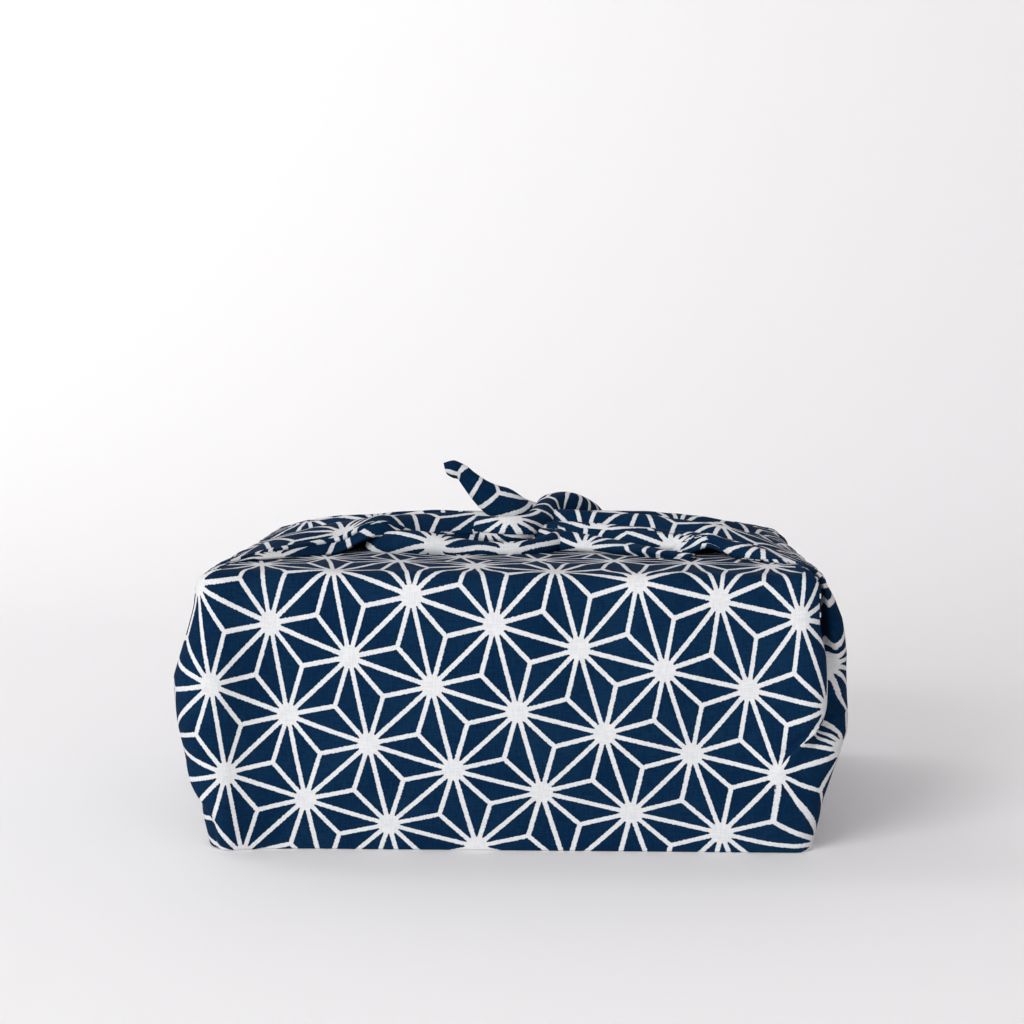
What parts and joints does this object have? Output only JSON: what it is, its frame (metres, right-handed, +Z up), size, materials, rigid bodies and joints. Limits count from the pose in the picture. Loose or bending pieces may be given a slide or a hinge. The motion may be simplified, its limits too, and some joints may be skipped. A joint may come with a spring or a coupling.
{
  "type": "furoshiki wrap",
  "caption": "Square of printed cotton folded round a box-shaped bundle and tied on top in a square knot with two free ends.",
  "frame": {"origin": "middle of the base, on the surface that the bundle stands on", "axes": "+Z up, the broad plain panel faces -Y, the two fans and the knot run along X"},
  "size_m": [0.21, 0.1754, 0.1201],
  "materials": {
    "navy_cotton": "matt plain-weave cotton, navy with a white hemp-leaf print"
  },
  "bodies": {
    "root": {"furoshiki_cloth": "navy_cotton"}
  },
  "joints": []
}
